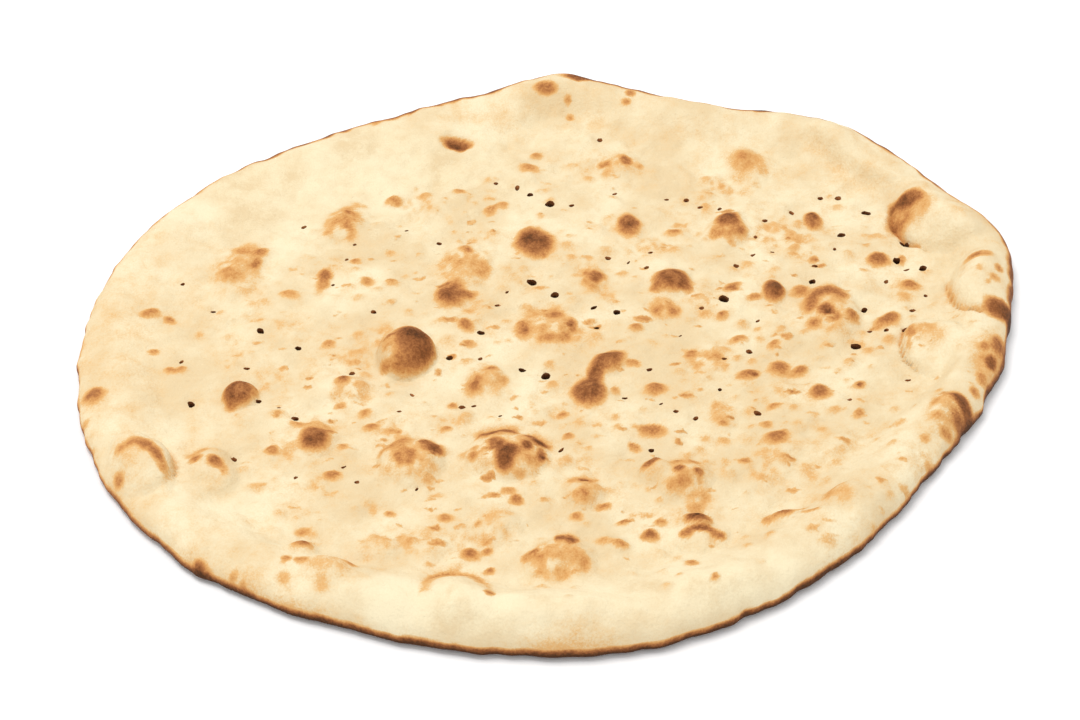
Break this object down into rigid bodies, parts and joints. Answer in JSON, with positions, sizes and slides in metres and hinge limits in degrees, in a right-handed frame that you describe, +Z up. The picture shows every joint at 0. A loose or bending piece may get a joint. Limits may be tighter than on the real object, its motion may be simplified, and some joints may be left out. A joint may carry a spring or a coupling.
{
  "type": "taftoon bread",
  "caption": "Large round blistered flatbread with a thin pricked middle and a low puffed rim, baked in one piece, for tearing and wrapping food.",
  "frame": {"origin": "on the surface that the bread lies on, under the middle of its bounding box", "axes": "+Z up out of the blistered top, +X to the right and +Y away from someone who looks at the front, where the rim is widest"},
  "size_m": [0.4072, 0.3722, 0.018],
  "materials": {
    "baked_dough": "dry floury crust, toasted brown on the blisters"
  },
  "bodies": {
    "root": {"taftoon": "baked_dough"}
  },
  "joints": []
}
